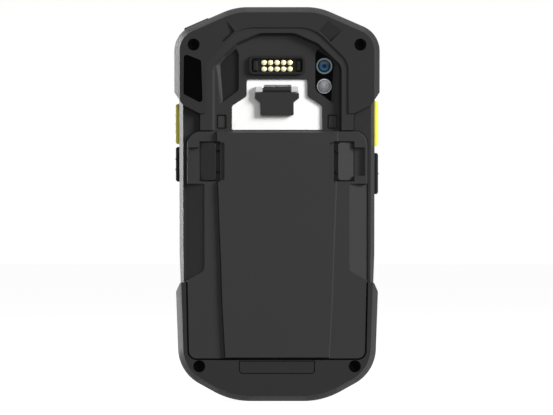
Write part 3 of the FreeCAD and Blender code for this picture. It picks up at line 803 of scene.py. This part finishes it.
@dataclass
class AccessoryConnector:
    """Shroud with two rows of domed contacts and a tapered key beside each end of them."""

    dresser: Dresser
    rows: int = 2
    columns: int = 5
    pitch_mm: float = 2.65
    dome_mm: float = 0.3
    dome_rings: int = 4
    contact_sides: int = 32
    smooth_degrees: float = 45.0
    key_inner_mm: float = 7.7
    key_outer_mm: float = 10.2
    key_rise_mm: float = 0.8
    key_taper: Triple = (0.55, 1.0, 0.8)
    key_edge_mm: float = 0.12
    edge_mm: float = 0.2

    def contacts(self) -> Piece:
        """Model one contact and repeat it over the rows.

        Returns:
            All contacts as one piece.
        """
        low, high = span("interface_contacts")
        pitch = self.pitch_mm * MM
        radius = (high.z - low.z - pitch * (self.rows - 1)) / 2
        dome = self.dome_mm * MM
        first = Vector((low.x + radius, (low.y + high.y + dome) / 2, low.z + radius))
        master = Shaper.cylinder("contact", first, radius, high.y - low.y - dome, self.contact_sides)
        Shaper.crown(master, radius, dome, self.dome_rings)
        Bench.smooth(master, self.smooth_degrees)
        placed = [Shaper.twin(master, Vector((column * pitch, 0.0, row * pitch)))
                  for row in range(self.rows) for column in range(self.columns) if row or column]
        return Shaper.joined([master, *placed], "gold_contacts")

    def key(self, hand: Hand) -> Piece:
        """Model the tapered key on one side of the contacts.

        Args:
            hand: Its side.

        Returns:
            The piece.
        """
        low, high = span("interface_contacts")
        inner, outer = hand.value * self.key_inner_mm * MM, hand.value * self.key_outer_mm * MM
        floor = high.y
        piece = Shaper.block("connector_key_" + hand.word, (inner, floor - self.key_rise_mm * MM, low.z),
                             (outer, floor, high.z))
        middle = Vector(((inner + outer) / 2, floor, (low.z + high.z) / 2))
        with Bench.editing(piece):
            Bench.choose_faces(looks_back)
            bpy.ops.transform.resize(value=self.key_taper, center_override=middle)
        Bench.bevel(piece, self.key_edge_mm * MM)
        return piece

    def build(self) -> None:
        """Build the shroud, its contacts and its keys."""
        self.dresser.stand_in("interface_connector", "connector_shroud", MODULE, self.edge_mm)
        self.dresser.fit(self.contacts(), GOLD, "interface_contacts")
        for hand in Hand:
            self.dresser.fit(self.key(hand), MODULE, "interface_connector", body="terminal")


@dataclass
class StrapBay:
    """White anchor plate with the dark flap on its steel hinge."""

    dresser: Dresser
    plate_edge_mm: float = 0.3
    flap_edge_mm: float = 0.2

    def build(self) -> None:
        """Copy, soften and dress the plate, the hinge and the flap."""
        self.dresser.stand_in("strap_anchor_plate", "anchor_plate", ANCHOR, self.plate_edge_mm)
        self.dresser.stand_in("strap_hinge", "flap_hinge", STEEL, self.flap_edge_mm)
        self.dresser.stand_in("strap_flap", "hinged_flap", HOUSING, self.flap_edge_mm)


@dataclass
class FlankKeys:
    """Soft-touch key caps on the two flanks and the power key on the shoulder."""

    dresser: Dresser
    edge_mm: float = 0.35

    def build(self) -> None:
        """Copy, soften and dress every key."""
        for node, name, finish in (
            ("scan_key_left", "left_scan_cap", KEY_YELLOW),
            ("scan_key_right", "right_scan_cap", KEY_YELLOW),
            ("talk_key", "talk_cap", KEY_BLACK),
            ("volume_rocker", "volume_cap", KEY_BLACK),
            ("power_key", "power_cap", KEY_BLACK),
        ):
            self.dresser.stand_in(node, name, finish, self.edge_mm)


@dataclass
class CornerScrews:
    """Four six-lobe screws at the bottom of the corner recesses."""

    dresser: Dresser
    upper_mm: tuple[float, float] = (34.0, 145.5)
    lower_mm: tuple[float, float] = (31.7, 14.35)
    head_radius_mm: float = 1.9
    head_height_mm: float = 1.4
    shank_radius_mm: float = 0.9
    socket_radius_mm: float = 1.15
    socket_depth_mm: float = 0.8
    lobes: int = 6
    lobe_waist: float = 0.76
    edge_mm: float = 0.12
    edge_degrees: float = 50.0

    def screw(self) -> Piece:
        """Model one screw on the middle plane, with its lobed socket.

        Returns:
            The screw.
        """
        low, high = span("corner_screws")
        head = self.head_height_mm * MM
        centre = Vector((0.0, low.y + head / 2, 0.0))
        shank = high.y - low.y - head
        piece = Shaper.cylinder("screw", centre, self.head_radius_mm * MM, head)
        with Bench.editing(piece):
            Bench.choose_faces(lambda middle, normal: normal.y > FACING)
            bpy.ops.mesh.inset(thickness=(self.head_radius_mm - self.shank_radius_mm) * MM)
            bpy.ops.mesh.extrude_region_move(TRANSFORM_OT_translate={"value": (0.0, shank, 0.0)})
            Bench.choose_faces(looks_back)
            bpy.ops.mesh.inset(thickness=(self.head_radius_mm - self.socket_radius_mm) * MM)
            self.pinch_lobes(centre)
            sink = {"value": (0.0, self.socket_depth_mm * MM, 0.0)}
            bpy.ops.mesh.extrude_region_move(TRANSFORM_OT_translate=sink)
        Bench.bevel(piece, self.edge_mm * MM, angle=self.edge_degrees)
        return piece

    def pinch_lobes(self, centre: Vector) -> None:
        """Pull the rim of the selected socket face in between its lobes.

        Args:
            centre: A point on the screw's axis.
        """
        mesh = bmesh.from_edit_mesh(bpy.context.edit_object.data)
        rim = next(face for face in mesh.faces if face.select)
        for corner in rim.verts:
            turn = math.atan2(corner.co.z - centre.z, corner.co.x - centre.x)
            share = (1 + math.cos(self.lobes * turn)) / 2
            width = self.lobe_waist + (1 - self.lobe_waist) * share
            corner.co.x = centre.x + (corner.co.x - centre.x) * width
            corner.co.z = centre.z + (corner.co.z - centre.z) * width
        bmesh.update_edit_mesh(bpy.context.edit_object.data)

    def build(self) -> None:
        """Set the four screws in their recesses."""
        master = self.screw()
        placed = [Shaper.twin(master, Vector((hand.value * across * MM, 0.0, up * MM)))
                  for across, up in (self.upper_mm, self.lower_mm) for hand in Hand]
        bpy.data.objects.remove(master)
        # The screws' near-black colour is partly painted shade of the deep corner recesses
        self.dresser.fit(Shaper.joined(placed, "lobed_screws"), SCREW, "corner_screws")


@dataclass
class BatteryPack:
    """Battery cover, its two latches and the coil springs behind them."""

    dresser: Dresser
    panel_rise_mm: float = 1.2
    shell_edge_mm: float = 0.18
    latch_edge_mm: float = 0.3
    latch_edge_segments: int = 3
    latch_corner_mm: float = 1.2
    latch_fall_mm: float = 1.9
    slope_inner_mm: float = 29.6
    slope_outer_mm: float = 37.6
    slope_low_mm: float = 53.3
    slope_drop_mm: float = 4.4
    slope_top_mm: float = 88.6
    slope_fall_mm: float = 2.16
    slope_step_mm: float = 0.3
    slope_corner_mm: float = 2.2
    slope_segments: int = 6
    pit_inner_mm: float = 21.4
    pit_outer_mm: float = 23.4
    pit_depth_mm: float = 0.9
    pit_corner_mm: float = 0.9
    corner_segments: int = 5
    overcut_mm: float = 1.0
    spring_radius_mm: float = 0.3
    spring_coils: int = 9
    spring_end_mm: float = 3.3
    wire_radius_mm: float = 0.09
    wire_sides: int = 8
    wire_smooth_degrees: float = 60.0
    steps_per_coil: int = 12
    seam_mm: float = 0.001
    bore_radius_mm: float = 0.43
    bore_depth_mm: float = 1.85
    bore_sides: int = 24

    def carve(self, piece: Piece, tool: Piece) -> None:
        """Cut one shape out of a piece and throw the cutter away.

        Args:
            piece: The piece.
            tool: The cutter.
        """
        removal = piece.modifiers.new("recess", "BOOLEAN")
        removal.object = tool
        Bench.apply_all(piece)
        bpy.data.objects.remove(tool)

    def slope_tool(self, hand: Hand, face_y: float) -> Piece:
        """Model the cutter of one finger slope: a sloping slice with a slanted lower end.

        Args:
            hand: Its side.
            face_y: Depth of the cover's face.

        Returns:
            The cutter.
        """
        inner, outer = hand.value * self.slope_inner_mm * MM, hand.value * self.slope_outer_mm * MM
        low, high = self.slope_low_mm * MM, self.slope_top_mm * MM
        tool = Shaper.block("slope_cutter", (inner, face_y - self.overcut_mm * MM, low),
                            (outer, face_y + self.slope_step_mm * MM, high))
        with Bench.editing(tool, Select.EDGE):
            Bench.choose_edges(lambda a, b: min(a.y, b.y) > face_y and both_at(a, b, outer))
            bpy.ops.transform.translate(value=(0.0, self.slope_fall_mm * MM, 0.0))
            Bench.choose_edges(lambda a, b: both_at(a, b, outer) and max(a.z, b.z) < low + TOUCH)
            bpy.ops.transform.translate(value=(0.0, 0.0, -self.slope_drop_mm * MM))
            Bench.choose_edges(lambda a, b: both_at(a, b, inner) and max(a.z, b.z) < low + TOUCH)
            bpy.ops.mesh.bevel(offset=self.slope_corner_mm * MM, segments=self.slope_segments)
        return tool

    def pit_tool(self, hand: Hand, face_y: float) -> Piece:
        """Model the cutter of the finger pit on the inner side of one latch.

        Args:
            hand: Its side.
            face_y: Depth of the raised panel's face.

        Returns:
            The cutter.
        """
        low, high = span("latch_right")
        inner, outer = hand.value * self.pit_inner_mm * MM, hand.value * self.pit_outer_mm * MM
        tool = Shaper.block("pit_cutter", (inner, face_y - self.overcut_mm * MM, low.z),
                            (outer, face_y + self.pit_depth_mm * MM, high.z))
        with Bench.editing(tool, Select.EDGE):
            Bench.choose_edges(lambda a, b: both_at(a, b, inner) and abs(a.z - b.z) < TOUCH)
            bpy.ops.mesh.bevel(offset=self.pit_corner_mm * MM, segments=self.corner_segments)
        return tool

    def cover(self) -> Piece:
        """Copy the cover, cut its finger slopes and pits, and soften it.

        Returns:
            The piece.
        """
        piece = self.dresser.softened("battery_shell", "battery_cover", 0.0)
        panel_y = span("battery_shell")[0].y
        face_y = panel_y + self.panel_rise_mm * MM
        for hand in Hand:
            self.carve(piece, self.slope_tool(hand, face_y))
            self.carve(piece, self.pit_tool(hand, panel_y))
        Bench.bevel(piece, self.shell_edge_mm * MM)
        return piece

    def latch(self, hand: Hand) -> Piece:
        """Model one latch: a slide whose face falls away to the outside.

        Args:
            hand: Its side.

        Returns:
            The piece.
        """
        low, high = span("latch_" + hand.word)
        outer = high.x if hand is Hand.RIGHT else low.x
        piece = Shaper.block(hand.word + "_latch_slide", low, high)
        with Bench.editing(piece, Select.EDGE):
            Bench.choose_edges(lambda a, b: max(a.y, b.y) < low.y + TOUCH and both_at(a, b, outer))
            bpy.ops.transform.translate(value=(0.0, self.latch_fall_mm * MM, 0.0))
            Bench.choose_edges(lambda a, b: both_at(a, b, a.x) and abs(a.z - b.z) < TOUCH)
            bpy.ops.mesh.bevel(offset=self.latch_corner_mm * MM, segments=self.corner_segments)
        Bench.bevel(piece, self.latch_edge_mm * MM, self.latch_edge_segments)
        for height in self.spring_heights(hand):
            self.carve(piece, self.bore_tool(hand, height))
        Bench.keep_flats(piece)
        return piece

    def spring_heights(self, hand: Hand) -> tuple[float, float]:
        """Find the two springs of one latch.

        Args:
            hand: Its side.

        Returns:
            The heights of their axes.
        """
        low, high = span("latch_spring_" + hand.word)
        radius = (high.y - low.y) / 2
        return low.z + radius, high.z - radius

    def bore_tool(self, hand: Hand, height: float) -> Piece:
        """Model the cutter of a blind bore, which a spring enters as the latch is pushed in.

        Args:
            hand: Its side.
            height: Height of the bore's axis.

        Returns:
            The cutter.
        """
        spring_low, spring_high = span("latch_spring_" + hand.word)
        low, high = span("latch_" + hand.word)
        mouth = low.x - self.overcut_mm * MM if hand is Hand.RIGHT else high.x + self.overcut_mm * MM
        end = mouth + hand.value * (self.overcut_mm + self.bore_depth_mm) * MM
        middle = Vector(((mouth + end) / 2, (spring_low.y + spring_high.y) / 2, height))
        radius = self.bore_radius_mm * MM
        return Shaper.cylinder("bore_cutter", middle, radius, abs(end - mouth), self.bore_sides, ACROSS)

    def spring(self, hand: Hand, height: float) -> Piece:
        """Wind one coil spring along X.

        Args:
            hand: Its side.
            height: Height of its axis.

        Returns:
            The piece.
        """
        low, high = span("latch_spring_" + hand.word)
        length = high.x - low.x - self.spring_end_mm * MM
        start = low.x if hand is Hand.RIGHT else high.x
        Bench.clear()
        bpy.ops.mesh.primitive_circle_add(vertices=self.wire_sides, radius=self.wire_radius_mm * MM,
                                          fill_type="NOTHING",
                                          location=(0.0, 0.0, self.spring_radius_mm * MM))
        piece = Shaper.started("spring")
        with Bench.editing(piece, Select.EDGE):
            bpy.ops.mesh.select_all(action="SELECT")
            bpy.ops.mesh.edge_face_add()
        winding = piece.modifiers.new("winding", "SCREW")
        winding.axis = "X"
        winding.screw_offset = hand.value * length / self.spring_coils
        winding.iterations = self.spring_coils
        winding.steps = self.steps_per_coil
        winding.use_merge_vertices = True
        Bench.apply_all(piece)
        with Bench.editing(piece):
            bpy.ops.mesh.select_all(action="SELECT")
            bpy.ops.mesh.remove_doubles(threshold=self.seam_mm * MM)
            bpy.ops.transform.translate(value=(start, (low.y + high.y) / 2, height))
            bpy.ops.mesh.normals_make_consistent(inside=False)
        Bench.smooth(piece, self.wire_smooth_degrees)
        return piece

    def build(self) -> None:
        """Build the cover, the latches and their springs."""
        self.dresser.fit(self.cover(), BATTERY, "battery_shell")
        for hand in Hand:
            self.dresser.fit(self.latch(hand), LATCH, "latch_" + hand.word)
            pair = [self.spring(hand, height) for height in self.spring_heights(hand)]
            springs = Shaper.joined(pair, hand.word + "_latch_springs")
            # The springs' near-black colour is partly painted shade round the latches
            self.dresser.fit(springs, SCREW, "latch_spring_" + hand.word)


@dataclass
class WellContacts:
    """Contact block in the battery well: a black carrier with a row of gold blades."""

    dresser: Dresser
    blades: int = 4
    pitch_mm: float = 4.0
    blade_half_mm: float = 0.8
    blade_rise_mm: float = 0.3
    blade_root_mm: float = 0.2
    blade_margin_mm: float = 0.9
    blade_edge_mm: float = 0.25
    blade_edge_segments: int = 3
    rim_mm: float = 0.4
    sink_mm: float = 0.1
    edge_mm: float = 0.15

    def carrier(self) -> Piece:
        """Model the carrier, a block with a rim round its sunk face.

        Returns:
            The piece.
        """
        low, high = span("well_contacts")
        low.y += self.blade_rise_mm * MM
        piece = Shaper.block("well_contact_carrier", low, high)
        with Bench.editing(piece):
            Bench.choose_faces(looks_back)
            bpy.ops.mesh.inset(thickness=self.rim_mm * MM)
            bpy.ops.transform.translate(value=(0.0, self.sink_mm * MM, 0.0))
        Bench.bevel(piece, self.edge_mm * MM)
        return piece

    def blade(self, middle: float) -> Piece:
        """Model one blade, rooted in the carrier.

        Args:
            middle: Its place across the device.

        Returns:
            The piece.
        """
        low, high = span("well_contacts")
        across, margin = self.blade_half_mm * MM, self.blade_margin_mm * MM
        root = low.y + (self.blade_rise_mm + self.blade_root_mm) * MM
        piece = Shaper.block("blade", (middle - across, low.y, low.z + margin),
                             (middle + across, root, high.z - margin))
        Bench.bevel(piece, self.blade_edge_mm * MM, self.blade_edge_segments)
        return piece

    def build(self) -> None:
        """Build the carrier and its blades."""
        self.dresser.fit(self.carrier(), MODULE, "well_contacts", slot="module_plastic")
        first = -(self.blades - 1) / 2
        row = [self.blade((first + column) * self.pitch_mm * MM) for column in range(self.blades)]
        joined = Shaper.joined(row, "well_contact_blades")
        self.dresser.fit(joined, GOLD, "well_contacts", body="terminal", slot="gold")


@dataclass
class ScreenSide:
    """Touch glass, the scan window in the top edge and the dock in the bottom edge."""

    dresser: Dresser
    edge_mm: float = 0.2

    def build(self) -> None:
        """Copy, soften and dress the glass and the two end fittings."""
        for node, name, finish in (
            ("touch_glass", "front_glass", SCREEN),
            ("scan_window", "scan_glass", WINDOW),
            ("dock_connector", "dock_body", MODULE),
        ):
            self.dresser.stand_in(node, name, finish, self.edge_mm)


@dataclass(frozen=True)
class Lamp:
    """Rectangular soft lamp that points at the device.

    Attributes:
        name: Name of the lamp.
        place: Its place.
        size: Its width and height.
        watts: Its power.
    """

    name: str
    place: Triple
    size: tuple[float, float]
    watts: float

    def hang(self, aim_height: float) -> None:
        """Hang the lamp.

        Args:
            aim_height: Height of the point of the device that it looks at.
        """
        Bench.clear()
        turn = (Vector((0.0, 0.0, aim_height)) - Vector(self.place)).to_track_quat("-Z", "Y").to_euler()
        bpy.ops.object.light_add(type="AREA", location=self.place, rotation=turn)
        hung = bpy.context.view_layer.objects.active
        hung.name = self.name
        hung.data.shape = "RECTANGLE"
        hung.data.size, hung.data.size_y = self.size
        hung.data.energy = self.watts


# A strong key on the right, a weak fill behind the camera, and a rim lamp that brightens the left flank
LAMPS = (
    Lamp("key_lamp", (1.75, -0.85, 0.95), (0.7, 0.9), 88.0),
    Lamp("fill_lamp", (0.1, -2.2, 1.0), (1.4, 1.0), 8.0),
    Lamp("rim_lamp", (-1.1, 1.2, 0.3), (0.5, 1.4), 42.0),
)


@dataclass
class Studio:
    """White floor, white surroundings, soft lamps and the camera at the photograph's angle."""

    distance: float = 2.5
    aim_height: float = 0.0791
    aim_across: float = -0.0002
    sensor_mm: float = 36.0
    view_width: float = 0.2266
    surround: float = 0.2
    floor_size: float = 12.0
    floor_glow: float = 0.95
    floor_colour: str = "5c5c5c"
    flag_size: float = 1.6
    flag_place: Triple = (1.0, 1.1, 0.4)
    flag_turn_degrees: float = -42.0

    def background_share(self, tree: bpy.types.NodeTree) -> bpy.types.NodeSocket:
        """Tell the rays that see the background from those that light the object.

        Args:
            tree: The node tree of a material or of the world.

        Returns:
            A socket that is 1 for rays that see the background directly, in metal or through glass.
        """
        path = add_node(tree, "LightPath")
        seen = add_node(tree, "Math", settings={"operation": "MAXIMUM"},
                        links={0: path.outputs["Is Camera Ray"], 1: path.outputs["Is Glossy Ray"]})
        return add_node(tree, "Math", settings={"operation": "MAXIMUM"},
                        links={0: seen.outputs[0], 1: path.outputs["Is Transmission Ray"]}).outputs[0]

    def surroundings(self) -> None:
        """Make the world white where it is seen and a plain grey where it lights the object."""
        world = bpy.data.worlds.new("white_surroundings")
        bpy.context.scene.world = world
        world.use_nodes = True
        tree = world.node_tree
        tree.nodes.clear()
        strength = add_node(tree, "MapRange", values={"To Min": self.surround, "To Max": 1.0},
                            links={"Value": self.background_share(tree)})
        sky = add_node(tree, "Background", values={"Color": (1.0, 1.0, 1.0, 1.0)},
                       links={"Strength": strength.outputs["Result"]})
        add_node(tree, "OutputWorld", links={"Surface": sky.outputs["Background"]})

    def sheet(self, name: str, size: float, place: Triple, turn: Triple,
              material: str) -> tuple[Piece, bpy.types.NodeTree]:
        """Set up a square sheet of the studio.

        Args:
            name: Name of the sheet.
            size: Its side.
            place: Its place.
            turn: Its rotation.
            material: Name of its material.

        Returns:
            The sheet and the node tree of its still empty material.
        """
        Bench.clear()
        bpy.ops.mesh.primitive_plane_add(size=size, location=place, rotation=turn)
        flat = bpy.context.view_layer.objects.active
        flat.name = name
        surface = bpy.data.materials.new(material)
        surface.use_nodes = True
        surface.node_tree.nodes.clear()
        flat.data.materials.append(surface)
        return flat, surface.node_tree

    def floor(self) -> None:
        """Lay a white floor that still takes the device's soft shadow."""
        ground, tree = self.sheet("floor", self.floor_size, (0.0, 0.0, 0.0), (0.0, 0.0, 0.0), "white_floor")
        glow = add_node(tree, "Math", settings={"operation": "MULTIPLY"}, values={1: self.floor_glow},
                        links={0: self.background_share(tree)})
        light = add_node(tree, "Emission", links={"Strength": glow.outputs[0]})
        paper = add_node(tree, "BsdfDiffuse", values={"Color": linear(self.floor_colour)})
        both = add_node(tree, "AddShader", links={0: light.outputs[0], 1: paper.outputs[0]})
        add_node(tree, "OutputMaterial", links={"Surface": both.outputs[0]})

    def flag(self) -> None:
        """Stand a black board behind on the right, which keeps that flank dark and shows in no view."""
        board, tree = self.sheet("flag", self.flag_size, self.flag_place,
                                 (math.pi / 2, 0.0, math.radians(self.flag_turn_degrees)), "black_flag_cloth")
        cloth = add_node(tree, "BsdfPrincipled",
                         values={"Base Color": (0.0, 0.0, 0.0, 1.0), "Specular IOR Level": 0.0})
        add_node(tree, "OutputMaterial", links={"Surface": cloth.outputs["BSDF"]})
        board.visible_camera = False
        board.visible_diffuse = False
        board.visible_shadow = False

    def camera(self) -> None:
        """Stand the camera level with the device, straight behind it."""
        Bench.clear()
        bpy.ops.object.camera_add(location=(self.aim_across, -self.distance, self.aim_height),
                                  rotation=(math.pi / 2, 0.0, 0.0))
        eye = bpy.context.view_layer.objects.active
        eye.data.sensor_width = self.sensor_mm
        eye.data.lens = self.sensor_mm * self.distance / self.view_width
        bpy.context.scene.camera = eye

    def build(self) -> None:
        """Set up the studio."""
        self.surroundings()
        self.floor()
        for lamp in LAMPS:
            lamp.hang(self.aim_height)
        self.flag()
        self.camera()
        bpy.context.scene.view_settings.view_transform = "Standard"


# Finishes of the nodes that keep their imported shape
FINISH_BY_SLOT: dict[str, Finish] = {
    "battery_plastic": BATTERY, "gold": GOLD, "lens_glass": WINDOW, "led": PHOSPHOR, "board_laminate": BOARD,
    "shield_metal": SHIELD, "frame_metal": CHASSIS, "cell_foil": CELLS, "module_plastic": MODULE,
    "seal_rubber": SEAL,
}


def main() -> None:
    """Build every sub-assembly, then the studio."""
    logging.basicConfig(level=logging.INFO, format="%(message)s")
    dresser = Dresser(frame)
    for assembly in (MouldedShells, CameraUnit, AccessoryConnector, StrapBay, FlankKeys, CornerScrews,
                     BatteryPack, WellContacts, ScreenSide):
        assembly(dresser).build()
    dresser.dress_rest(FINISH_BY_SLOT)
    Studio().build()


if __name__ == "__main__":
    main()
